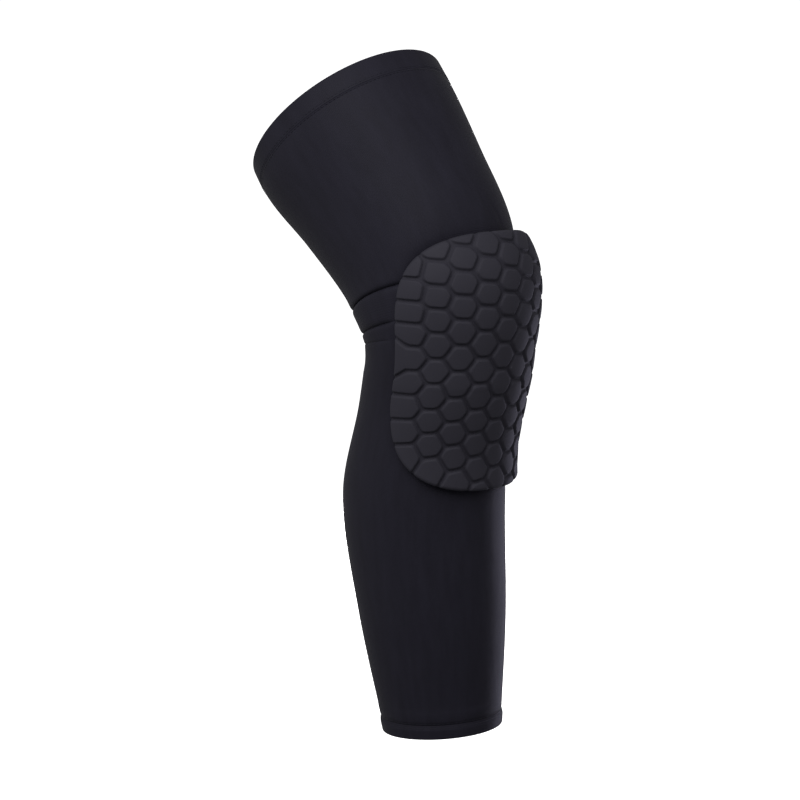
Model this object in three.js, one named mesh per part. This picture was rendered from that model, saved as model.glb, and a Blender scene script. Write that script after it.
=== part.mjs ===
// A knee brace as it sits on a bent leg: a knitted tube from thigh to ankle, a folded hem at each end
// and a thick honeycomb foam pad over the kneecap. Millimetres. The origin is the middle of the knee,
// the shin hangs straight down, the thigh leans back towards +Y and the pad faces -Y.
import * as THREE from "three";
import { ParametricGeometry } from "three/addons/geometries/ParametricGeometry.js";
import { mergeVertices } from "three/addons/utils/BufferGeometryUtils.js";

const { abs, cos, exp, sin, sign, PI } = Math;
const { clamp, smoothstep, degToRad } = THREE.MathUtils;

// The bent leg that the cloth follows
const kneeFlex = degToRad(36);
const bendRadius = 115;
const bendHalf = (bendRadius * kneeFlex) / 2;

// The cloth and its two ends, as levels up the leg
const clothThickness = 1.2;
const hemThickness = 2.6;
const hemSwell = 0.5;
const hemSeamStep = 2;
const seamGap = 0.3;
const ankleRim = -308;
const ankleSeam = -295.5;
const thighSeam = 169.5;
const thighRim = 187.5;
const aroundCount = 40;

// The foam pad, laid out flat with u across the knee and v up it from the lower end of the bend
const padThickness = 9;
const padDome = 2.5;
const padStandOff = 0.8;
const padHalfWidth = 101;
const padHalfHeight = 101;
const padMiddle = 20;
const padRoundness = 2.7;
const padOutlineCount = 40;
const padWrapRadius = 72;
const padSideReach = 25;
const padFrontReach = 62;

// Its cells: upright columns of six-sided blocks between grooves
const cellColumn = 18.6;
const cellColumns = 10;
const cellRow = 19.4;
const cellRows = 13;
const cellLevel = 3.8;
const cellLift = 4.5;
const cellLiftLevel = 50;
const cellLiftReach = 40;
const cellSweep = 13;
const cellEdgeShare = 1.02;
const cellLongSide = 15.5;
const cellCrown = 0.4;
const cellBevel = 1.5;
const grooveFloor = 6;

// One row for each section across the leg from the ankle up: its place along the centre line, the half
// sizes of its oval and how far the oval's middle sits behind the centre line
const legSections = [
  { along: -316, halfWidth: 43.5, halfDepth: 44.5, setBack: 5 },
  { along: -225, halfWidth: 53.7, halfDepth: 58.2, setBack: 16.3 },
  { along: -135, halfWidth: 57.6, halfDepth: 64.6, setBack: 25.3 },
  { along: -60, halfWidth: 55.3, halfDepth: 58.3, setBack: 13.8 },
  { along: 0, halfWidth: 60.9, halfDepth: 63.4, setBack: -3.2 },
  { along: 50, halfWidth: 65.1, halfDepth: 72.1, setBack: -11.3 },
  { along: 105, halfWidth: 70.4, halfDepth: 78.9, setBack: -7 },
  { along: 155, halfWidth: 75.6, halfDepth: 84.1, setBack: -0.7 },
  { along: 194, halfWidth: 77.7, halfDepth: 85.2, setBack: 0.3 },
];

// One row for each level whose line round the leg climbs, or falls, on its way from the front to the back
const levelRises = [
  { level: ankleRim, rise: -10 },
  { level: -110, rise: 0 },
  { level: -15, rise: 12 },
  { level: 0, rise: 10 },
  { level: 13, rise: 28 },
  { level: 110, rise: 0 },
  { level: thighRim, rise: -10 },
];

// One row for each crease behind the knee from the lowest up; start is its angle from the front
const kneeFolds = [
  { level: -11.5, depth: 1.2, width: 2.6, start: degToRad(94) },
  { level: 1, depth: 2.4, width: 2.6, start: degToRad(84) },
  { level: 15.5, depth: 2.8, width: 2.6, start: degToRad(72) },
];
const foldFadeIn = degToRad(24);
const foldStations = [-1.7, -0.8, 0, 0.8, 1.7];
const foldClearance = 12;

// One row for each ring of a cell from the back of the pad to its face: the share by which the ring
// draws in towards the cell's heart, the same at the rim of the pad, its height and the share of the dome
const cellRings = [
  { inset: 0, rimInset: 0, out: padStandOff, domed: 0 },
  { inset: 0, rimInset: 0, out: grooveFloor, domed: 1 },
  { inset: 0.13, rimInset: 0.03, out: grooveFloor, domed: 1 },
  { inset: 0.15, rimInset: 0.05, out: padThickness - cellBevel, domed: 1 },
  { inset: 0.28, rimInset: 0.18, out: padThickness, domed: 1 },
];

// Evenly spaced values, both ends included
function steps(from, to, count) {
  return Array.from({ length: count + 1 }, (_, i) => from + ((to - from) * i) / count);
}

// Smooth cubic curve through one column of a table
function curveThrough(rows, place, column, at) {
  const last = rows.length - 1;
  const slope = (i) => {
    const before = rows[Math.max(i - 1, 0)];
    const after = rows[Math.min(i + 1, last)];
    return (after[column] - before[column]) / (after[place] - before[place]);
  };
  const next = rows.findIndex((row) => row[place] > at);
  const i = next < 0 ? last - 1 : Math.max(next - 1, 0);
  const span = rows[i + 1][place] - rows[i][place];
  const t = (at - rows[i][place]) / span;
  const ease = t * t * (3 - 2 * t);
  const straight = rows[i][column] * (1 - ease) + rows[i + 1][column] * ease;
  return straight + span * t * (1 - t) * (slope(i) * (1 - t) - slope(i + 1) * t);
}

// Point on the outside of the smooth leg; angle 0 is the front and a quarter turn the +X side
function skin(along, angle) {
  const inBend = clamp(along, -bendHalf, bendHalf);
  const lean = (inBend + bendHalf) / bendRadius;
  const y = bendRadius * (cos(kneeFlex / 2) - cos(lean)) + (along - inBend) * sin(lean);
  const z = bendRadius * (sin(lean) - sin(kneeFlex / 2)) + (along - inBend) * cos(lean);
  const section = (column) => curveThrough(legSections, "along", column, along);
  const across = section("halfWidth") * sin(angle);
  const forward = section("halfDepth") * cos(angle) - section("setBack");
  return new THREE.Vector3(across, y - forward * cos(lean), z + forward * sin(lean));
}

// The same point moved straight out from the leg
function offSkin(along, angle, out) {
  const round = skin(along, angle + 0.01).sub(skin(along, angle - 0.01));
  const up = skin(along + 0.5, angle).sub(skin(along - 0.5, angle));
  return skin(along, angle).addScaledVector(round.cross(up).normalize(), out);
}

// A crease is a bell shaped valley, fading in from the side of the knee to the back
function foldHeight(level, angle) {
  return kneeFolds.reduce((height, fold) => {
    const t = (level - fold.level) / fold.width;
    const back = smoothstep(abs(angle), fold.start, fold.start + foldFadeIn);
    return height - fold.depth * back * exp((-t * t) / 2);
  }, 0);
}

// Point on the cloth at a level; out is measured from the outside of the smooth leg
function onCloth(level, angle, out) {
  const rise = curveThrough(levelRises, "level", "rise", level);
  return offSkin(level + (rise * (1 - cos(angle))) / 2, angle, out + foldHeight(level, angle));
}

// Closed solid from a geometry whose edges meet, without the triangles that have collapsed to a line
function closedSolid(geometry) {
  geometry.deleteAttribute("normal");
  geometry.deleteAttribute("uv");
  const merged = mergeVertices(geometry, 1e-3);
  const corners = merged.index.array;
  const kept = [];
  for (let i = 0; i < corners.length; i += 3) {
    const [a, b, c] = corners.slice(i, i + 3);
    if (a !== b && b !== c && c !== a) {
      kept.push(a, b, c);
    }
  }
  merged.setIndex(kept);
  merged.computeVertexNormals();
  return merged;
}

// Carries a closed loop of wall stations, outside up and inside down, once round the leg
function clothBand(stations) {
  const wall = (u, v, target) => {
    const { level, out } = stations[Math.round(v * stations.length) % stations.length];
    target.copy(onCloth(level, (u - 0.5) * 2 * PI, out));
  };
  return closedSolid(new ParametricGeometry(wall, aroundCount, stations.length));
}

// The knitted tube, with extra rows at every crease
function sleeveGeometry() {
  const lowestFold = kneeFolds[0].level;
  const highestFold = kneeFolds[kneeFolds.length - 1].level;
  const levels = [
    ...steps(ankleSeam + seamGap, lowestFold - foldClearance, 10),
    ...kneeFolds.flatMap((fold) => foldStations.map((t) => fold.level + t * fold.width)),
    ...steps(highestFold + foldClearance, thighSeam - seamGap, 7),
  ];
  const outside = levels.map((level) => ({ level, out: 0 }));
  const inside = levels.map((level) => ({ level, out: -clothThickness }));
  return clothBand([...outside, ...inside.reverse()]);
}

// A hem of doubled cloth, a little proud of the tube, with its fold turned over in a half round
function hemGeometry(seam, rim) {
  const up = sign(rim - seam);
  const foldRadius = hemThickness / 2;
  const foldRound = steps(0, PI, 4).map((turn) => ({
    level: rim - up * foldRadius * (1 - sin(turn)),
    out: hemSwell - foldRadius * (1 - cos(turn)),
  }));
  const stations = [
    { level: seam, out: 0 },
    { level: seam + up * hemSeamStep, out: hemSwell },
    ...foldRound,
    { level: seam, out: hemSwell - hemThickness },
  ];
  return clothBand(up > 0 ? stations : stations.reverse());
}

// Place on the leg of a point of the flat pad; the rows keep their spacing round the outside of the bend
function onPad(flat, out) {
  const angle = flat.x / padWrapRadius;
  const stretch = 1 + (padSideReach + padFrontReach * cos(angle)) / bendRadius;
  const inBend = clamp(flat.y, 0, 2 * bendHalf * stretch);
  return offSkin(inBend / stretch - bendHalf + flat.y - inBend, angle, out);
}

// Corner of the flat outline, a block with well rounded corners
function padCorner(turn) {
  const rounded = (part) => sign(part) * abs(part) ** (2 / padRoundness);
  return new THREE.Vector2(padHalfWidth * rounded(cos(turn)), padMiddle + padHalfHeight * rounded(sin(turn)));
}

function padOutline() {
  return steps(0, 2 * PI, padOutlineCount).slice(1).map((turn) => ({ point: padCorner(turn), rim: true }));
}

// Share of the way from the pad's middle to its outline at which a flat point lies
function padShare(flat) {
  const across = abs(flat.x) / padHalfWidth;
  const upward = abs(flat.y - padMiddle) / padHalfHeight;
  return (across ** padRoundness + upward ** padRoundness) ** (1 / padRoundness);
}

// How far the pad's face domes up at a flat point, which is nothing at the outline
function domeAt(flat) {
  return padDome * (1 - Math.min(padShare(flat), 1) ** 4);
}

// Middles of the cells: every other column half a row higher, the rows lifted over the kneecap, and the
// columns swept sideways at their ends
function cellMiddles() {
  const middles = [];
  for (let column = 0; column < cellColumns; column += 1) {
    for (let row = 0; row < cellRows; row += 1) {
      const even = cellLevel + (row - (cellRows - 1) / 2 + (column % 2) / 2) * cellRow;
      const v = even + cellLift * exp(-(((even - cellLiftLevel) / cellLiftReach) ** 2));
      const t = (v - padMiddle) / padHalfHeight;
      const u = (column - (cellColumns - 1) / 2) * cellColumn + cellSweep * t * t;
      const middle = new THREE.Vector2(u, v);
      if (padShare(middle) < cellEdgeShare) {
        middles.push(middle);
      }
    }
  }
  return middles;
}

// The part of a flat shape that lies nearer to one middle than to another
function nearerPart(corners, middle, other) {
  const lead = ({ point }) => point.distanceToSquared(other) - point.distanceToSquared(middle);
  return corners.flatMap((corner, i) => {
    const next = corners[(i + 1) % corners.length];
    const here = lead(corner);
    const there = lead(next);
    const kept = here >= 0 ? [corner] : [];
    if (here * there < 0) {
      const crossing = corner.point.clone().lerp(next.point, here / (here - there));
      kept.push({ point: crossing, rim: here < 0 && corner.rim });
    }
    return kept;
  });
}

// Long sides get a corner at their middle, so that they follow the round of the leg
function withMiddleCorners(corners) {
  return corners.flatMap((corner, i) => {
    const next = corners[(i + 1) % corners.length].point;
    const between = { point: corner.point.clone().lerp(next, 0.5), rim: corner.rim };
    return corner.point.distanceTo(next) > cellLongSide ? [corner, between] : [corner];
  });
}

// Triangles of one raised cell, its share of the pad's back and, where it has one, of the pad's rim
function cellTriangles(cell) {
  const heart = new THREE.Vector2();
  cell.forEach((corner) => heart.addScaledVector(corner.point, 1 / cell.length));
  const rings = cellRings.map(({ inset, rimInset, out, domed }) => cell.map((corner, i) => {
    const onRim = corner.rim && cell.at(i - 1).rim;
    const flat = corner.point.clone().lerp(heart, onRim ? rimInset : inset);
    return onPad(flat, out + domed * domeAt(flat));
  }));
  const back = onPad(heart, padStandOff);
  const crown = onPad(heart, padThickness + cellCrown + domeAt(heart));
  return cell.flatMap((corner, i) => {
    const j = (i + 1) % cell.length;
    const sides = rings.slice(1).map((upper, k) => {
      const lower = rings[k];
      return [lower[i], lower[j], upper[j], lower[i], upper[j], upper[i]];
    });
    const shown = corner.rim ? sides : sides.slice(1);
    return [back, rings[0][j], rings[0][i], crown, rings.at(-1)[i], rings.at(-1)[j], ...shown.flat()];
  });
}

// The moulded pad: each cell takes what lies nearest to its middle, out to the outline
function padGeometry() {
  const middles = cellMiddles();
  const outline = padOutline();
  const triangles = middles.flatMap((middle) => {
    const others = middles.filter((other) => other !== middle);
    const cell = others.reduce((shape, other) => nearerPart(shape, middle, other), outline);
    return cellTriangles(withMiddleCorners(cell));
  });
  return closedSolid(new THREE.BufferGeometry().setFromPoints(triangles));
}

const knit = new THREE.MeshStandardMaterial({ color: 0x232227, roughness: 0.85, metalness: 0 });
const foam = new THREE.MeshStandardMaterial({ color: 0x2c2b31, roughness: 0.75, metalness: 0 });

function piece(name, geometry, material) {
  const mesh = new THREE.Mesh(geometry, material);
  mesh.name = name;
  return mesh;
}

const brace = new THREE.Group();
brace.name = "padded_knee_brace";
brace.add(
  piece("sleeve", sleeveGeometry(), knit),
  piece("thigh_hem", hemGeometry(thighSeam, thighRim), knit),
  piece("ankle_hem", hemGeometry(ankleSeam, ankleRim), knit),
  piece("knee_pad", padGeometry(), foam),
);

export default brace;
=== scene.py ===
import math
import bpy
import numpy as np
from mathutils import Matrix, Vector


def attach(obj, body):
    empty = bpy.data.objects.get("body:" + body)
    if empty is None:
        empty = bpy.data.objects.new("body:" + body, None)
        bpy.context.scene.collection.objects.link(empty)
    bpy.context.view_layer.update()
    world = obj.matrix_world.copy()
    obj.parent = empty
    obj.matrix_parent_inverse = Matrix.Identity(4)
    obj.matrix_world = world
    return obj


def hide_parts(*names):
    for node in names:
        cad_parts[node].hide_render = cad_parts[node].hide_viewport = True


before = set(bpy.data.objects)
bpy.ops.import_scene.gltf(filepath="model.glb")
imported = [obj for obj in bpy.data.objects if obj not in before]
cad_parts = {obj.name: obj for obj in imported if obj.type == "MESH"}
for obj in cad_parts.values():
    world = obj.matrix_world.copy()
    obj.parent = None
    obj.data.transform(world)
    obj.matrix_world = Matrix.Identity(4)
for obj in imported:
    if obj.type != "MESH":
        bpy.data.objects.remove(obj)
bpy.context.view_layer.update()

perMetre = 1000  # millimetres
tiny = 1e-12  # stands in for nothing where a power of it is a divisor

# Values of the leg: columns of sections are place along the centre line, half width, half depth and
# set back of the oval; columns of rises are level and climb of a level line from the front to the back
leg = {
    "flex": math.radians(36),
    "bendRadius": 115,
    "sections": [
        (-316, 44.5, 45.5, 4.3),
        (-225, 54.5, 58.9, 15.5),
        (-135, 58.8, 65.6, 24.7),
        (-60, 55.3, 58.3, 13.8),
        (0, 60.9, 63.4, -3.2),
        (50, 65.1, 72.1, -11.3),
        (105, 70.4, 78.9, -7),
        (155, 77.2, 85.7, -0.7),
        (194, 77.7, 85.2, 0.3),
    ],
    "rises": [(-308, -10), (-110, 0), (-15, 12), (0, 10), (13, 28), (110, 0), (187.5, -10)],
    "probe": (0.5, 0.01),  # short steps along and round, which give the way straight out
}
bendHalf = leg["bendRadius"] * leg["flex"] / 2


# Cubic curve through one column of a table: the smooth blend of the two rows round a place, bent so
# that its slope at a row is that between the row's neighbours
def curveThrough(rows, column, at):
    table = np.array(rows, float)
    place, value = table[:, 0], table[:, column]
    last = len(place) - 1
    before = np.maximum(np.arange(last + 1) - 1, 0)
    after = np.minimum(np.arange(last + 1) + 1, last)
    slope = (value[after] - value[before]) / (place[after] - place[before])
    i = np.clip(np.searchsorted(place, at, side="right") - 1, 0, last - 1)
    span = place[i + 1] - place[i]
    t = (at - place[i]) / span
    ease = t * t * (3 - 2 * t)
    bend = span * t * (1 - t) * (slope[i] * (1 - t) - slope[i + 1] * t)
    return value[i] * (1 - ease) + value[i + 1] * ease + bend


# Rises smoothly from 0 to 1 between two limits
def smoothStep(value, low, high):
    t = np.clip((value - low) / (high - low), 0, 1)
    return t * t * (3 - 2 * t)


# Outside of the smooth leg: an oval square to a centre line that is straight, then an arc of the knee's
# flex, then straight again; angle 0 is the front and a quarter turn the +X side
def skin(along, angle):
    inBend = np.clip(along, -bendHalf, bendHalf)
    lean = (inBend + bendHalf) / leg["bendRadius"]
    past = along - inBend
    y = leg["bendRadius"] * (math.cos(leg["flex"] / 2) - np.cos(lean)) + past * np.sin(lean)
    z = leg["bendRadius"] * (np.sin(lean) - math.sin(leg["flex"] / 2)) + past * np.cos(lean)
    across = curveThrough(leg["sections"], 1, along) * np.sin(angle)
    forward = curveThrough(leg["sections"], 2, along) * np.cos(angle)
    forward = forward - curveThrough(leg["sections"], 3, along)
    return np.stack([across, y - forward * np.cos(lean), z + forward * np.sin(lean)], -1)


# The same point moved straight out: the direction is the way round the leg crossed with the way up it
def offSkin(along, angle, out):
    along, angle, out = np.broadcast_arrays(along, angle, out)
    alongStep, angleStep = leg["probe"]
    roundWay = skin(along, angle + angleStep) - skin(along, angle - angleStep)
    upWay = skin(along + alongStep, angle) - skin(along - alongStep, angle)
    normal = np.cross(roundWay, upWay)
    normal = normal / np.linalg.norm(normal, axis=-1, keepdims=True)
    return skin(along, angle) + normal * out[..., None]


# Values of the creases: columns of folds are level, depth, width and the angle from the front where the
# crease starts; columns of pulls are level and angle of both ends, height and width of a line in the cloth
creases = {
    "folds": [
        (-11.5, 0.8, 1.4, math.radians(84)),
        (1, 2.6, 0.8, math.radians(79)),
        (15.5, 3.2, 1.2, math.radians(64)),
    ],
    "fadeIn": math.radians(14),
    "insideWidth": 3.0,  # times the width outside
    "swellLevel": 9,
    "swellWidth": 11,
    "swellHeight": 1.6,
    "swellStart": math.radians(75),
    "swellFull": math.radians(115),
    "pulls": [
        (66, math.radians(-2), 34, math.radians(5), -0.6, 2.2),
        (54, math.radians(6), 32, math.radians(14), -0.5, 1.8),
        (-291, math.radians(-150), -290.5, math.radians(40), 0.9, 3.0),
        (-292.5, math.radians(-32), -287.5, math.radians(22), 1.1, 1.3),
    ],
    "pullEnds": (0.02, 0.98),  # shares of the line between which its height changes
    "pullRadius": 62,
}

# Values of the pad, laid flat with u across the knee and v up it from the lower end of the bend; columns
# of bulges are v and how far the knee pushes the pad out there, and columns of joins are the row of a cell
# in the first column and the u and v of a part cell at the rim that belongs to it
pad = {
    "thickness": 9,
    "bulges": [(-81, 0), (-60, 0.5), (-20, 3.5), (28, 0.3), (88, 5.3), (121, 5)],
    "back": -1.1,  # lies in the seat of the cloth
    "seatDepth": 2.4,
    "seatWidth": 3.6,
    "tuck": 0.022,  # share by which the side wall draws in on its way to the back
    "halfWidth": 100,
    "halfHeight": 101,
    "middle": 19,
    "slant": -0.02,
    "upperRoundness": 2.7,
    "lowerRoundness": 3.1,
    "wrapRadius": 72,
    "sideReach": 25,  # reach outside the bend's middle at the sides, and more of it at the front
    "frontReach": 62,
    "column": 18.6,  # spacing of the cells across and up
    "columns": 10,
    "row": 19.4,
    "rows": 13,
    "level": 3.8,  # of the middle row
    "lift": 4.5,  # how far the rows over the kneecap are spread
    "liftLevel": 46,
    "liftReach": 32,
    "sweep": 13,
    "sideDrop": 3,
    "sideDropPower": 8,
    "sideDropLevels": (20, 65),
    "edgeShare": 1.02,  # share of the way to the outline up to which a cell is kept
    "joins": [(7, -96.8, 28.1), (7, -99, 21.7)],
    "crown": 0.4,
    "crownReach": 9,
    "bulgePower": 6,
    "grooveDepth": 1.6,
    "grooveHalf": (0.5, 2.2),  # from the middle of a groove to the foot and the top of its wall
    "acrossShare": 0.91,
    "cornerSoftness": 0.8,
    "rimRound": 3.2,
    "grid": 289,
    "gridBend": 0.8,
    "wallRings": 7,
    "backRings": 6,
    "batches": 40,  # parts in which the distances to the grooves are worked out
    "farAway": 1e3,
    "colour": "#2e2d34",
    # painted shade: the darker colour laid in the grooves, on the rim, the side wall and the back
    "paintedShadeColour": "#29282f",
    "roughness": 0.6,
    "specular": 0.05,
    "grains": 1800,  # to the metre, coarser than the real cells so that they show
    "grainDetail": 2,
    "grainRelief": 0.00015,
    "grainStrength": 0.25,
}


# Stretch of the pad's rows round the outside of the knee's bend at an angle
def bendStretch(angle):
    return 1 + (pad["sideReach"] + pad["frontReach"] * np.cos(angle)) / leg["bendRadius"]


# Power of the pad's outline above and below its slanted middle line
def padPower(above):
    return np.where(above < 0, pad["lowerRoundness"], pad["upperRoundness"])


# Share of the way from the pad's slanted middle line to its outline, whose powers of across and upward sum
# to one, and the distance in from that outline: the share that is left over the slope of the share
def padShare(u, v):
    above = v - pad["middle"] - pad["slant"] * u
    n = padPower(above)
    across = np.abs(u) / pad["halfWidth"]
    upward = np.abs(above) / pad["halfHeight"]
    share = np.maximum(across**n + upward**n, tiny) ** (1 / n)
    acrossSlope = (across / share) ** (n - 1) / pad["halfWidth"]
    upwardSlope = (upward / share) ** (n - 1) / pad["halfHeight"]
    return share, (1 - share) / np.hypot(acrossSlope, upwardSlope)


# Seat of the pad: the cloth is pressed in under it and rises again outside as an exponential of the
# distance to the pad's outline
def seatHeight(along, angle):
    inBend = np.clip(along, -bendHalf, bendHalf)
    v = (inBend + bendHalf) * bendStretch(angle) + along - inBend
    _, inward = padShare(angle * pad["wrapRadius"], v)
    return -pad["seatDepth"] * np.exp(np.minimum(inward, 0) / pad["seatWidth"])


# Creases behind the knee: outside, each is a sharp valley that falls off as the exponential of the
# distance to its line, and inside a wider bell of the same depth; it fades in from the side of the knee,
# and the slack cloth between them swells out in one broad bell
def foldHeight(level, angle, inside):
    bell = np.exp(-(((level - creases["swellLevel"]) / creases["swellWidth"]) ** 2))
    behind = smoothStep(np.abs(angle), creases["swellStart"], creases["swellFull"])
    height = creases["swellHeight"] * behind * bell
    for place, depth, width, start in creases["folds"]:
        t = np.abs(level - place) / width
        back = smoothStep(np.abs(angle), start, start + creases["fadeIn"])
        valley = np.where(inside, np.exp(-((t / creases["insideWidth"]) ** 2)), np.exp(-t))
        height = height - depth * back * valley
    return height


# Pull lines: each is a soft ridge or valley, a bell curve of the distance to a straight line between two
# places on the unrolled cloth, and its height is a half sine from end to end
def pullHeight(level, angle):
    height = 0
    for fromLevel, fromAngle, toLevel, toAngle, rise, width in creases["pulls"]:
        start = np.array([fromLevel, fromAngle * creases["pullRadius"]])
        way = np.array([toLevel, toAngle * creases["pullRadius"]]) - start
        here = np.stack(np.broadcast_arrays(level, angle * creases["pullRadius"]), -1) - start
        share = np.clip(here @ way / (way @ way), 0, 1)
        gap = np.linalg.norm(here - share[..., None] * way, axis=-1) / width
        swell = np.sin(math.pi * np.clip(share, *creases["pullEnds"]))
        height = height + rise * swell * np.exp(-gap * gap)
    return height


# Cloth at a level: the level line climbs from front to back by its rise times half of one minus the
# cosine of the angle, and creases, pull lines and the pad's seat are added to the distance out
def onCloth(level, angle, out, inside=False):
    along = level + curveThrough(leg["rises"], 1, level) * (1 - np.cos(angle)) / 2
    relief = foldHeight(level, angle, inside) + pullHeight(level, angle) + seatHeight(along, angle)
    return offSkin(along, angle, out + relief)


# Corner indices of the quads of a grid, with the corner places in rows and columns for the UV map; the
# last row or column meets the first where it wraps
def gridQuads(rows, columns, wrapRows, wrapColumns):
    i, j = np.meshgrid(
        np.arange(rows if wrapRows else rows - 1),
        np.arange(columns if wrapColumns else columns - 1),
        indexing="ij",
    )
    cornerRows = np.stack([i, i, i + 1, i + 1], -1).reshape(-1, 4)
    cornerColumns = np.stack([j, j + 1, j + 1, j], -1).reshape(-1, 4)
    return cornerRows % rows * columns + cornerColumns % columns, cornerRows, cornerColumns


# A smooth shaded mesh object in metres, with a UV pair for each face corner, riding on the part's body
def makePiece(name, points, faces, cornerUv, material):
    mesh = bpy.data.meshes.new(name)
    mesh.from_pydata((points.reshape(-1, 3) / perMetre).tolist(), [], faces)
    layer = mesh.uv_layers.new(name="flat")
    layer.data.foreach_set("uv", np.ascontiguousarray(cornerUv, np.float32).ravel())
    mesh.polygons.foreach_set("use_smooth", np.ones(len(mesh.polygons), bool))
    mesh.materials.append(material)
    mesh.update()
    piece = bpy.data.objects.new(name, mesh)
    bpy.context.scene.collection.objects.link(piece)
    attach(piece, "root")
    return piece


# Values of a band of cloth: how much its steps round the leg are drawn to the front, and the distance out
# below which its wall is the inside
band = {
    "frontDraw": 0.3,
    "insideBelow": -1,
}


# A closed band of cloth: a loop of wall stations, outside up and inside down, carried once round the
# leg in steps that are drawn closer at the front by a sine; the UV map is the share of the way round and
# the metres along the loop
def clothBand(name, levels, outs, around, material):
    even = np.linspace(-math.pi, math.pi, around + 1)
    turn = even - band["frontDraw"] * np.sin(even)
    angles = turn[:-1]
    inner = outs[:, None] < band["insideBelow"]
    points = onCloth(levels[:, None], angles[None, :], outs[:, None], inner)
    quads, cornerRows, cornerColumns = gridQuads(len(levels), around, True, True)
    steps = np.hypot(np.diff(levels, append=levels[0]), np.diff(outs, append=outs[0])) / perMetre
    metres = np.concatenate([[0], np.cumsum(steps)])
    cornerUv = np.stack([turn[cornerColumns] / (2 * math.pi), metres[cornerRows]], -1)
    return makePiece(name, points, quads.tolist(), cornerUv, material)


# Linear colour of an sRGB hex code
def colour(code):
    values = [int(code[i:i + 2], 16) / 255 for i in (1, 3, 5)]
    return (*[v / 12.92 if v <= 0.04045 else ((v + 0.055) / 1.055) ** 2.4 for v in values], 1)


# Adds a node with its settings; an input given as a socket is linked and any other is set
def addNode(tree, kind, inputs, **settings):
    node = tree.nodes.new(kind)
    for key, value in settings.items():
        setattr(node, key, value)
    for key, value in inputs.items():
        if isinstance(value, bpy.types.NodeSocket):
            tree.links.new(value, node.inputs[key])
        else:
            node.inputs[key].default_value = value
    return node


# An empty material and its node tree
def newMaterial(name):
    material = bpy.data.materials.new(name)
    material.use_nodes = True
    material.node_tree.nodes.clear()
    return material, material.node_tree


# Values of the knit: its two tones, wales round the leg, courses to the metre and their height as a share of
# the wales', and in metres the relief, the mean radius of the tube and the size of a streak across and up;
# real wales are half a millimetre wide, and these are one so that they show
knit = {
    "darkColour": "#1a1920",
    "lightColour": "#22212a",
    "wales": 430,
    "courses": 1150,
    "courseShare": 0.3,
    "relief": 0.00012,
    "reliefStrength": 0.5,
    "meanRadius": 0.065,
    "streak": (0.007, 0.03),
    "streakDetail": 3,
    "roughness": (0.5, 0.6),
    "specular": 0.05,
    "sheen": 0.025,
    "sheenRoughness": 0.35,
}


# Black nylon and elastane knit: matt and near black, with fine upright wales and courses, and faint upright
# streaks where the stretched yarns lie thinner or thicker; the streaks are noise on a straight tube, so
# that they meet where the UV map closes
def knitMaterial(name):
    material, tree = newMaterial(name)
    uv = addNode(tree, "ShaderNodeUVMap", {}, uv_map="flat")
    parts = addNode(tree, "ShaderNodeSeparateXYZ", {0: uv.outputs[0]})
    turn = addNode(tree, "ShaderNodeMath", {0: parts.outputs[0], 1: 2 * math.pi}, operation="MULTIPLY")
    side = addNode(tree, "ShaderNodeMath", {0: turn.outputs[0]}, operation="SINE")
    front = addNode(tree, "ShaderNodeMath", {0: turn.outputs[0]}, operation="COSINE")
    tube = addNode(
        tree, "ShaderNodeCombineXYZ", {0: side.outputs[0], 1: front.outputs[0], 2: parts.outputs[1]}
    )
    across, up = knit["streak"]
    streakPlace = addNode(tree, "ShaderNodeMapping", {
        "Vector": tube.outputs[0],
        "Scale": (knit["meanRadius"] / across, knit["meanRadius"] / across, 1 / up),
    })
    streak = addNode(tree, "ShaderNodeTexNoise", {
        "Vector": streakPlace.outputs[0],
        "Scale": 1,
        "Detail": knit["streakDetail"],
    })
    # inputs 6 and 7 of a mix are its two colours, and output 2 the mixed one
    tone = addNode(tree, "ShaderNodeMix", {
        "Factor": streak.outputs["Fac"],
        6: colour(knit["darkColour"]),
        7: colour(knit["lightColour"]),
    }, data_type="RGBA")
    roughness = addNode(tree, "ShaderNodeMapRange", {
        "Value": streak.outputs["Fac"],
        "To Min": knit["roughness"][0],
        "To Max": knit["roughness"][1],
    })
    waleTurn = addNode(
        tree, "ShaderNodeMath", {0: parts.outputs[0], 1: math.pi * knit["wales"]}, operation="MULTIPLY"
    )
    waleWave = addNode(tree, "ShaderNodeMath", {0: waleTurn.outputs[0]}, operation="SINE")
    wale = addNode(tree, "ShaderNodeMath", {0: waleWave.outputs[0]}, operation="ABSOLUTE")
    courseTurn = addNode(
        tree, "ShaderNodeMath", {0: parts.outputs[1], 1: 2 * math.pi * knit["courses"]}, operation="MULTIPLY"
    )
    course = addNode(tree, "ShaderNodeMath", {0: courseTurn.outputs[0]}, operation="SINE")
    height = addNode(tree, "ShaderNodeMath", {
        0: course.outputs[0],
        1: knit["courseShare"],
        2: wale.outputs[0],
    }, operation="MULTIPLY_ADD")
    bump = addNode(tree, "ShaderNodeBump", {
        "Strength": knit["reliefStrength"],
        "Distance": knit["relief"],
        "Height": height.outputs[0],
    })
    shader = addNode(tree, "ShaderNodeBsdfPrincipled", {
        "Base Color": tone.outputs[2],
        "Roughness": roughness.outputs[0],
        "Specular IOR Level": knit["specular"],
        "Sheen Weight": knit["sheen"],
        "Sheen Roughness": knit["sheenRoughness"],
        "Normal": bump.outputs[0],
    })
    addNode(tree, "ShaderNodeOutputMaterial", {"Surface": shader.outputs[0]})
    return material


knitCloth = knitMaterial("nylon_knit")
print("stage: knit material")

# Values of the sleeve: its ends tuck a little under the hems' seams; the steps between levels are in
# millimetres, away from the pad, beside it and in the creases, with the reach of the fine ones last
sleeve = {
    "thickness": 1.2,
    "ankleEnd": -297.8,
    "thighEnd": 170.3,
    "around": 264,
    "padLevels": (-128, 64),
    "outsideSteps": (3.6, 1.7, 0.2, 2.5),
    "insideSteps": (9.0, 7.0, 1.5, 4.0),
    "samples": 6000,  # of the running sum that sets the levels
}


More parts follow.
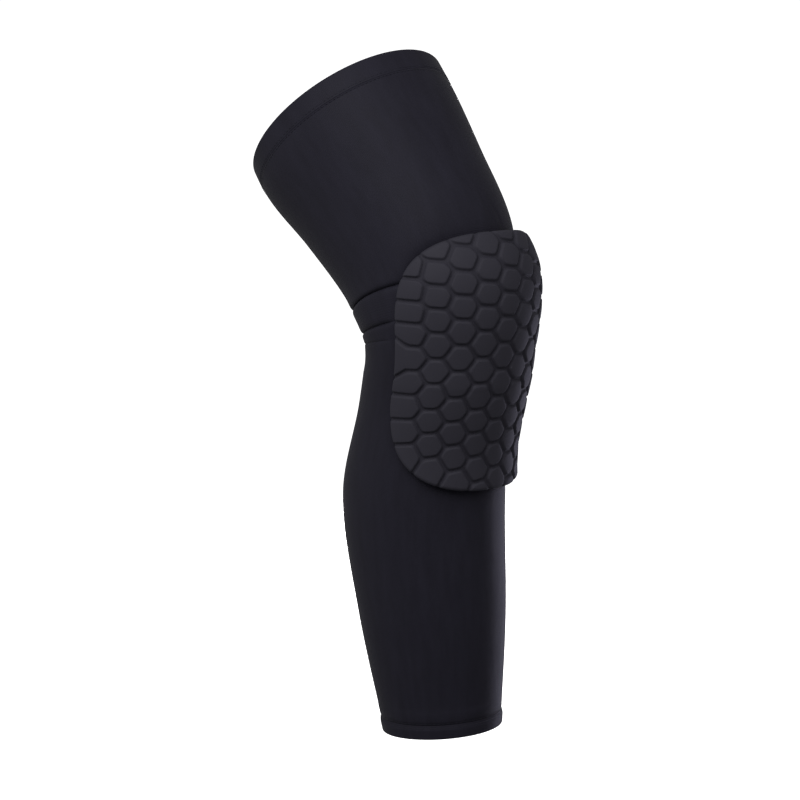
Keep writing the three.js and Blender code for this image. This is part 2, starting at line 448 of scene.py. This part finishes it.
# Levels up the sleeve: the rows to the millimetre are few, more round the pad, with a bell of many at
# each crease, and their running sum is cut into even shares
def sleeveLevels(wide, close, fine, reach):
    level = np.linspace(sleeve["ankleEnd"], sleeve["thighEnd"], sleeve["samples"])
    low, high = sleeve["padLevels"]
    dense = np.where((level > low) & (level < high), 1 / close, 1 / wide)
    for place, _, _, _ in creases["folds"]:
        dense = dense + np.exp(-(((level - place) / reach) ** 2)) / fine
    count = np.concatenate([[0], np.cumsum((dense[1:] + dense[:-1]) / 2 * np.diff(level))])
    return np.interp(np.linspace(0, count[-1], round(count[-1]) + 1), count, level)


outside = sleeveLevels(*sleeve["outsideSteps"])
inside = sleeveLevels(*sleeve["insideSteps"])[::-1]
sleevePiece = clothBand(
    "sleeve_cloth",
    np.concatenate([outside, inside]),
    np.concatenate([np.zeros(len(outside)), np.full(len(inside), -sleeve["thickness"])]),
    sleeve["around"],
    knitCloth,
)
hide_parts("sleeve")
print("stage: sleeve")

# Values of the two hems: levels of seam and rim, wall and swell of the doubled cloth
hems = {
    "thigh": {"seam": 169.5, "rim": 187.5, "swell": 0.2},
    "ankle": {"seam": -297, "rim": -308, "swell": 1.3},
    "thickness": 2.6,
    "seamStep": 4,  # length of the swell at the seam
    "seamHeight": 0.04,
    "rows": {"swell": 7, "run": 8, "turn": 13, "back": 6},  # of points in each stretch of the wall
    "around": 360,
}


# Hem of doubled cloth: from the seam it swells by a smooth step, runs to the rim, turns over in a half
# round and comes back straight inside
def hemPiece(name, seam, rim, swell):
    up = np.sign(rim - seam)
    rows = hems["rows"]
    radius = hems["thickness"] / 2
    reach = abs(rim - seam) - radius
    stepShare = np.linspace(0, 1, rows["swell"])
    run = np.linspace(hems["seamStep"], reach, rows["run"])[1:-1]
    turn = np.linspace(0, math.pi, rows["turn"])
    back = np.linspace(0, reach, rows["back"])[1:]
    levels = np.concatenate([
        seam + up * stepShare * hems["seamStep"],
        seam + up * run,
        rim - up * radius * (1 - np.sin(turn)),
        rim - up * (radius + back),
    ])
    outs = np.concatenate([
        hems["seamHeight"] + (swell - hems["seamHeight"]) * smoothStep(stepShare, 0, 1),
        np.full(len(run), swell),
        swell - radius * (1 - np.cos(turn)),
        np.full(len(back), swell - hems["thickness"]),
    ])
    if up < 0:
        levels, outs = levels[::-1], outs[::-1]
    piece = clothBand(name + "_hem_cloth", levels, outs, hems["around"], knitCloth)
    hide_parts(name + "_hem")
    return piece


hemPieces = [hemPiece(name, **hems[name]) for name in ("thigh", "ankle")]
print("stage: hems")

# Values of the thread: levels of the two rows at each hem, pitch and length of a stitch along the row, the
# share of its squared radius that is lost at its ends, and the share of the hem's swell that it lies at;
# twist and relief are metres
thread = {
    "rows": {"thigh": (168.3, 171.5), "ankle": (-298.8, -295.6)},
    "pitch": 3.2,
    "length": 2.5,
    "radius": 0.15,
    "endThinning": 0.8,
    "lift": 0.2,
    "swellShare": 0.5,
    "rings": 7,
    "sides": 6,
    "meanRadius": {"thigh": 78, "ankle": 46},
    # a touch lighter than the knit: painted light that lifts the shade between the stitches and the cloth
    "colour": "#25242d",
    "plies": 2,
    "twist": 0.0008,
    "relief": 0.00004,
    "reliefStrength": 0.6,
    "roughness": 0.5,
    "specular": 0.1,
}


# Black polyester sewing thread: a touch smoother than the knit, with the slanting ridges of its twisted
# plies, a sine of the way round plus the way along
def threadMaterial():
    material, tree = newMaterial("polyester_thread")
    uv = addNode(tree, "ShaderNodeUVMap", {}, uv_map="flat")
    parts = addNode(tree, "ShaderNodeSeparateXYZ", {0: uv.outputs[0]})
    roundTurn = addNode(
        tree, "ShaderNodeMath", {0: parts.outputs[0], 1: 2 * math.pi * thread["plies"]}, operation="MULTIPLY"
    )
    plyTurn = addNode(tree, "ShaderNodeMath", {
        0: parts.outputs[1],
        1: 2 * math.pi / thread["twist"],
        2: roundTurn.outputs[0],
    }, operation="MULTIPLY_ADD")
    ply = addNode(tree, "ShaderNodeMath", {0: plyTurn.outputs[0]}, operation="SINE")
    bump = addNode(tree, "ShaderNodeBump", {
        "Strength": thread["reliefStrength"],
        "Distance": thread["relief"],
        "Height": ply.outputs[0],
    })
    shader = addNode(tree, "ShaderNodeBsdfPrincipled", {
        # the thread's colour carries painted light against the shade of the seam
        "Base Color": colour(thread["colour"]),
        "Roughness": thread["roughness"],
        "Specular IOR Level": thread["specular"],
        "Normal": bump.outputs[0],
    })
    addNode(tree, "ShaderNodeOutputMaterial", {"Surface": shader.outputs[0]})
    return material


# Stitches of a hem: each is a short six sided thread along the row that arches out by one minus the
# square of its place and thins towards its two flat ends; the UV map is the share of the way round the
# thread and the metres along it
def stitchPiece(name, material):
    radius = thread["meanRadius"][name]
    count = round(2 * math.pi * radius / thread["pitch"])
    rings, sides = thread["rings"], thread["sides"]
    middle = np.arange(count) * 2 * math.pi / count
    share = np.linspace(-1, 1, rings)
    ring = -np.arange(sides) * 2 * math.pi / sides
    half = thread["length"] / 2 / radius
    level = np.array(thread["rows"][name])[:, None, None, None]
    angle = middle[None, :, None, None] + half * share[None, None, :, None] - math.pi
    thin = thread["radius"] * np.sqrt(1 - thread["endThinning"] * share**2)[None, None, :, None]
    arch = thread["lift"] * (1 - share**2)[None, None, :, None]
    base = hems[name]["swell"] * thread["swellShare"]
    points = onCloth(level + thin * np.sin(ring), angle, base + arch + thin * np.cos(ring))
    total = points.shape[0] * points.shape[1]
    quads, cornerRows, cornerColumns = gridQuads(rings, sides, False, True)
    starts = np.arange(total)[:, None, None] * rings * sides
    faces = (starts + quads[None]).reshape(-1, 4).tolist()
    faces += (starts[:, 0] + np.arange(sides)[::-1]).tolist()
    faces += (starts[:, 0] + (rings - 1) * sides + np.arange(sides)).tolist()
    metres = cornerRows / (rings - 1) * thread["length"] / perMetre
    sideUv = np.stack([cornerColumns / sides, metres], -1)
    endUv = np.zeros((total * 2 * sides, 2))
    cornerUv = np.concatenate([np.tile(sideUv, (total, 1, 1)).reshape(-1, 2), endUv])
    return makePiece(name + "_stitches", points, faces, cornerUv, material)


threadCloth = threadMaterial()
stitchPieces = [stitchPiece(name, threadCloth) for name in ("thigh", "ankle")]
print("stage: stitches")


# Place on the leg of a flat pad point: the angle is u over the wrap radius, and inside the knee's bend v
# is shortened so that the rows keep their spacing round the outside of the bend
def onPad(u, v, out):
    angle = u / pad["wrapRadius"]
    stretch = bendStretch(angle)
    inBend = np.clip(v, 0, 2 * bendHalf * stretch)
    return offSkin(inBend / stretch - bendHalf + v - inBend, angle, out)


# Middle of the cell in a column and row: every other column is half a row higher, the rows spread over
# the kneecap by a bell curve, the outermost columns drop in their upper rows, and the columns sweep
# sideways at their ends by the square of the height
def cellMiddle(column, row):
    half = (pad["columns"] - 1) / 2
    even = pad["level"] + (row - (pad["rows"] - 1) / 2 + column % 2 / 2) * pad["row"]
    v = even + pad["lift"] * np.exp(-(((even - pad["liftLevel"]) / pad["liftReach"]) ** 2))
    outermost = np.abs(column / half - 1) ** pad["sideDropPower"]
    v = v - pad["sideDrop"] * outermost * smoothStep(v, *pad["sideDropLevels"])
    t = (v - pad["middle"]) / pad["halfHeight"]
    return np.stack([(column - half) * pad["column"] + pad["sweep"] * t * t, v], -1)


# Middles of the cells inside the outline or just past it, with the number of the block that each belongs
# to; a part cell at the rim that is joined to a cell of the first column has that cell's number
def cellMiddles():
    column, row = np.meshgrid(np.arange(pad["columns"]), np.arange(pad["rows"]), indexing="ij")
    middles = cellMiddle(column.ravel(), row.ravel())
    share, _ = padShare(middles[:, 0], middles[:, 1])
    blocks = np.arange(len(middles))
    kept = share < pad["edgeShare"]
    joins = np.array(pad["joins"])
    return np.concatenate([middles[kept], joins[:, 1:]]), np.concatenate([blocks[kept], joins[:, 0]])


# Distance from flat points to the nearest groove: half way between the nearest middle and each one of
# another block lies a groove, and the distances blend by the logarithm of their summed exponentials;
# sideways distances count for less, which points the cells more to the sides
def grooveDistance(u, v):
    middles, blocks = cellMiddles()
    squeeze = np.array([pad["acrossShare"], 1])
    middles = middles * squeeze
    flat = np.stack([u.ravel(), v.ravel()], -1) * squeeze
    parts = []
    for some in np.array_split(flat, pad["batches"]):
        square = ((some[:, None, :] - middles[None]) ** 2).sum(-1)
        nearest = square.argmin(1)
        apart = np.linalg.norm(middles[nearest][:, None, :] - middles[None], axis=-1)
        own = blocks[None] == blocks[nearest][:, None]
        distance = (square - square.min(1)[:, None]) / (2 * np.where(own, 1, apart))
        distance = np.where(own, pad["farAway"], distance)
        least = distance.min(1)
        blend = np.exp((least[:, None] - distance) / pad["cornerSoftness"]).sum(1)
        parts.append(least - pad["cornerSoftness"] * np.log(blend))
    return np.concatenate(parts).reshape(u.shape)


# Flat pad points from a square of a and b: squares round its middle become outlines of the pad's form,
# because each point is drawn in by its larger part over the root of its summed powers
def padFlat(a, b):
    n = padPower(b)
    rho = np.maximum(np.abs(a), np.abs(b))
    scale = rho / np.maximum(np.abs(a) ** n + np.abs(b) ** n, tiny) ** (1 / n)
    u = pad["halfWidth"] * a * scale
    return u, pad["middle"] + pad["slant"] * u + pad["halfHeight"] * b * scale


# Height of the pad's face: bulges that fade by a high power of the share, down a soft wall into the grooves,
# slightly crowned on each cell and rounded over towards the rim in a quarter circle; with it the share of
# painted shade at a point, full in the grooves and rising towards the rim
def padHeight(u, v):
    share, inward = padShare(u, v)
    groove = grooveDistance(u, v)
    wall = smoothStep(groove, *pad["grooveHalf"])
    crown = pad["crown"] * (1 - (1 - np.clip(groove / pad["crownReach"], 0, 1)) ** 2)
    bulge = curveThrough(pad["bulges"], 1, v) * (1 - np.minimum(share, 1) ** pad["bulgePower"])
    height = pad["thickness"] + bulge - pad["grooveDepth"] * (1 - wall)
    over = np.clip(1 - inward / pad["rimRound"], 0, 1)
    height = height + crown * wall - pad["rimRound"] * (1 - np.sqrt(1 - over * over))
    # share of painted shade: full in the grooves and growing towards the rim
    return height, np.maximum(1 - wall, over**2)


# The pad: a face of height over the flat square, whose grid is drawn closer to the rim by a sine, a side
# wall down from its rim that tucks in by the square of the way down, and a smooth back drawn in ring by ring
# to one middle point
def padPiece(material):
    count = pad["grid"]
    q = np.sin(np.linspace(-1, 1, count) * pad["gridBend"]) / math.sin(pad["gridBend"])
    b, a = np.meshgrid(q, q, indexing="ij")
    u, v = padFlat(a, b)
    height, paintedShade = padHeight(u, v)
    face = onPad(u, v, height).reshape(-1, 3)
    faceUv = np.stack([u, v], -1).reshape(-1, 2)
    index = np.arange(count * count).reshape(count, count)
    rim = np.concatenate([index[0, :-1], index[:-1, -1], index[-1, :0:-1], index[:0:-1, 0]])
    rimUv = faceUv[rim]
    rimHeight = height.ravel()[rim]
    wallShare = np.linspace(0, 1, pad["wallRings"] + 1)[1:]
    wallOut = rimHeight[None] * (1 - wallShare[:, None]) + pad["back"] * wallShare[:, None]
    backShare = np.linspace(1, 0, pad["backRings"] + 2)[1:-1]
    shrink = np.concatenate([1 - pad["tuck"] * wallShare**2, (1 - pad["tuck"]) * backShare])[:, None, None]
    ringUv = np.array([0, pad["middle"]]) * (1 - shrink) + rimUv[None] * shrink
    ringOut = np.concatenate([wallOut, np.full((len(backShare), len(rim)), pad["back"])])
    ringPoints = onPad(ringUv[..., 0], ringUv[..., 1], ringOut)
    heart = onPad(np.zeros(1), np.full(1, pad["middle"]), np.full(1, pad["back"]))
    points = np.concatenate([face, ringPoints.reshape(-1, 3), heart])
    uv = np.concatenate([faceUv, ringUv.reshape(-1, 2), [[0, pad["middle"]]]]) / perMetre
    quads, _, _ = gridQuads(count, count, False, False)
    rings = len(shrink)
    rows = np.concatenate([rim[None], count * count + np.arange(rings * len(rim)).reshape(rings, -1)])
    following = np.roll(rows, -1, axis=1)
    sides = np.stack([rows[:-1], rows[1:], following[1:], following[:-1]], -1).reshape(-1, 4)
    fan = np.stack([rows[-1], np.full(len(rim), len(points) - 1), following[-1]], -1)
    faces = quads.tolist() + sides.tolist() + fan.tolist()
    cornerUv = np.concatenate([uv[quads].reshape(-1, 2), uv[sides].reshape(-1, 2), uv[fan].reshape(-1, 2)])
    piece = makePiece("knee_pad_foam", points, faces, cornerUv, material)
    # painted shade share: full on the side wall and back, and as padHeight gives it on the face
    depth = piece.data.attributes.new("paintedShade", "FLOAT", "POINT")
    depth.data.foreach_set("value", np.append(paintedShade, np.ones(len(points) - count * count)))
    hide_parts("knee_pad")
    return piece


# Closed cell foam with a moulded skin: matt, a little lighter than the knit, with painted shade that darkens
# it in the grooves and at the rim, and a fine grain
def foamMaterial():
    material, tree = newMaterial("eva_foam")
    paintedShade = addNode(tree, "ShaderNodeAttribute", {}, attribute_name="paintedShade")
    # mixes the painted shade colour into the foam's own colour in the grooves and at the rim
    tone = addNode(tree, "ShaderNodeMix", {
        "Factor": paintedShade.outputs["Fac"],
        6: colour(pad["colour"]),
        7: colour(pad["paintedShadeColour"]),
    }, data_type="RGBA")
    place = addNode(tree, "ShaderNodeTexCoord", {})
    grain = addNode(tree, "ShaderNodeTexNoise", {
        "Vector": place.outputs["Object"],
        "Scale": pad["grains"],
        "Detail": pad["grainDetail"],
    })
    bump = addNode(tree, "ShaderNodeBump", {
        "Strength": pad["grainStrength"],
        "Distance": pad["grainRelief"],
        "Height": grain.outputs["Fac"],
    })
    shader = addNode(tree, "ShaderNodeBsdfPrincipled", {
        "Base Color": tone.outputs[2],
        "Roughness": pad["roughness"],
        "Specular IOR Level": pad["specular"],
        "Normal": bump.outputs[0],
    })
    addNode(tree, "ShaderNodeOutputMaterial", {"Surface": shader.outputs[0]})
    return material


padPiece(foamMaterial())
print("stage: pad")

# Values of the studio: camera angle and distance from the photograph, height of the floor, and lamps with
# place, width and height, power, colour and whether they show as gloss
studio = {
    "azimuth": math.radians(-45),
    "elevation": math.radians(10),
    "distance": 1.65,
    "target": (-0.0224, 0.0224, -0.057),
    "lens": 98.3,
    "sensor": 36,
    "floor": -0.43,
    "floorSize": 60,
    "floorColour": "#cbcbcb",
    "floorGlow": 1.0,
    "sky": 0.3,  # light of the room on the part
    "room": 1.05,  # white of the room for the camera
    "lamps": [
        ("key", (-0.92, -0.3, 0.92), (1.1, 1.1), 18.5, "#ffffff", True),
        ("fill", (0.35, -1.15, 0.6), (1.0, 1.0), 3.2, "#ffffff", True),
        ("side", (0.8, -0.04, -0.4), (0.3, 0.6), 3.4, "#e4e0ff", True),
        ("back", (-1.1, 0.9, -0.1), (0.8, 0.8), 3, "#ffffff", True),
        ("rear", (0.95, 0.97, 0.0), (0.5, 0.5), 22, "#ffffff", False),
    ],
}


# White paper floor: pale and even, lit enough to look as white as the room
def floorMaterial():
    material, tree = newMaterial("paper_floor")
    shader = addNode(tree, "ShaderNodeBsdfPrincipled", {
        "Base Color": colour(studio["floorColour"]),
        "Roughness": 1.0,
        "Specular IOR Level": 0.0,
        "Emission Color": colour("#ffffff"),
        "Emission Strength": studio["floorGlow"],
    })
    addNode(tree, "ShaderNodeOutputMaterial", {"Surface": shader.outputs[0]})
    return material


# A square floor under the part, which the camera sees and which throws no light back on the part
def makeFloor():
    half = studio["floorSize"] / 2
    corners = [(-half, -half), (half, -half), (half, half), (-half, half)]
    mesh = bpy.data.meshes.new("floor")
    mesh.from_pydata([(x, y, studio["floor"]) for x, y in corners], [], [(0, 1, 2, 3)])
    mesh.materials.append(floorMaterial())
    floor = bpy.data.objects.new("floor", mesh)
    bpy.context.scene.collection.objects.link(floor)
    floor.visible_diffuse = False
    floor.visible_glossy = False


# White room for the camera and an even grey one for the light on the part
def makeWorld():
    world = bpy.data.worlds.new("studio")
    bpy.context.scene.world = world
    world.use_nodes = True
    tree = world.node_tree
    tree.nodes.clear()
    path = addNode(tree, "ShaderNodeLightPath", {})
    strength = addNode(tree, "ShaderNodeMapRange", {
        "Value": path.outputs["Is Camera Ray"],
        "To Min": studio["sky"],
        "To Max": studio["room"],
    })
    sky = addNode(
        tree, "ShaderNodeBackground", {"Color": colour("#ffffff"), "Strength": strength.outputs[0]}
    )
    addNode(tree, "ShaderNodeOutputWorld", {"Surface": sky.outputs[0]})


# Soft lamps aimed at the target
def makeLamps():
    for name, place, (width, height), power, tint, gloss in studio["lamps"]:
        lamp = bpy.data.lights.new(name, "AREA")
        lamp.shape = "RECTANGLE"
        lamp.size = width
        lamp.size_y = height
        lamp.energy = power
        lamp.color = colour(tint)[:3]
        holder = bpy.data.objects.new(name, lamp)
        holder.location = place
        holder.visible_glossy = gloss
        aim = Vector(studio["target"]) - Vector(place)
        holder.rotation_euler = aim.to_track_quat("-Z", "Y").to_euler()
        bpy.context.scene.collection.objects.link(holder)


# The camera stands at the photograph's azimuth and elevation from the target
def makeCamera():
    side, rise = studio["azimuth"], studio["elevation"]
    away = Vector((math.sin(side) * math.cos(rise), -math.cos(side) * math.cos(rise), math.sin(rise)))
    camera = bpy.data.cameras.new("camera")
    camera.sensor_width = studio["sensor"]
    camera.lens = studio["lens"]
    holder = bpy.data.objects.new("camera", camera)
    holder.location = Vector(studio["target"]) + away * studio["distance"]
    holder.rotation_euler = (-away).to_track_quat("-Z", "Y").to_euler()
    bpy.context.scene.collection.objects.link(holder)
    bpy.context.scene.camera = holder


makeFloor()
makeWorld()
makeLamps()
makeCamera()
bpy.context.scene.view_settings.view_transform = "Standard"
print("stage: studio")
